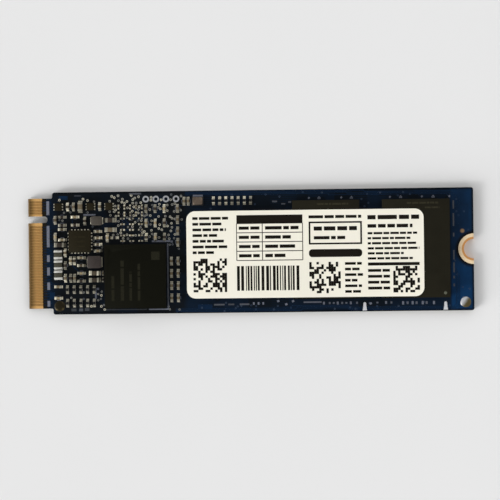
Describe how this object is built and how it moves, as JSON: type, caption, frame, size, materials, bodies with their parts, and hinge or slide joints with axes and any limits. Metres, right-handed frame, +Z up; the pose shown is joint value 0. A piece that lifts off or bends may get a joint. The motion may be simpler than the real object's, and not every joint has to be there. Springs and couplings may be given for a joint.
{
  "type": "gumstick solid state drive",
  "caption": "Slim card-edge solid state drive: a long populated circuit board with a keyed tongue of gold contacts, a half-round screw notch, memory packages and a paper label.",
  "frame": {"origin": "below the middle of the board, on the plane of its bare underside", "axes": "+X along the board from the contact tongue to the screw notch, +Y across the board towards the side with the key slot, +Z up from the underside to the chips and the label"},
  "size_m": [0.08, 0.022, 0.002],
  "materials": {
    "solder_mask": "glossy dark blue solder mask over laminate",
    "contact_gold": "hard gold plating",
    "land_gold": "pale gold plating",
    "controller_epoxy": "matte black moulding compound",
    "memory_epoxy": "matte dark grey moulding compound",
    "chip_epoxy": "matte black moulding compound",
    "solder_ball": "reflowed solder",
    "lead_tin": "tinned copper",
    "terminal_tin": "bright tin and solder",
    "capacitor_ceramic": "fired brown ceramic",
    "large_capacitor_ceramic": "fired tan ceramic",
    "resistor_glaze": "black glazed top",
    "inductor_moulding": "grey moulded metal powder",
    "crystal_ceramic": "fired ceramic",
    "crystal_metal": "nickel plated lid",
    "pad_tin": "tinned copper",
    "corner_solder": "dull reflowed solder",
    "label_paper": "matte off-white printed paper"
  },
  "bodies": {
    "root": {"cache_balls": "solder_ball", "cache_package": "memory_epoxy", "capacitor_bodies": "capacitor_ceramic", "capacitor_terminals": "terminal_tin", "circuit_board": "solder_mask", "controller_balls": "solder_ball", "controller_package": "controller_epoxy", "corner_pads": "corner_solder", "crystal_base": "crystal_ceramic", "crystal_lid": "crystal_metal", "flash_balls_1": "solder_ball", "flash_balls_2": "solder_ball", "flash_package_1": "memory_epoxy", "flash_package_2": "memory_epoxy", "inductor_terminals": "lead_tin", "label_sheet": "label_paper", "large_capacitor_bodies": "large_capacitor_ceramic", "large_capacitor_terminals": "terminal_tin", "large_inductor": "inductor_moulding", "load_switch": "chip_epoxy", "lower_contacts": "contact_gold", "power_chip": "chip_epoxy", "power_leads": "lead_tin", "resistor_bodies": "resistor_glaze", "resistor_terminals": "terminal_tin", "screw_land": "land_gold", "small_chip_leads": "lead_tin", "small_inductor": "inductor_moulding", "temperature_sensor": "chip_epoxy", "test_rings": "pad_tin", "tinned_pads": "pad_tin", "tiny_capacitor_bodies": "capacitor_ceramic", "tiny_capacitor_terminals": "terminal_tin", "upper_contacts": "contact_gold", "voltage_monitor": "chip_epoxy", "wide_capacitor_bodies": "capacitor_ceramic", "wide_capacitor_terminals": "terminal_tin"}
  },
  "joints": []
}
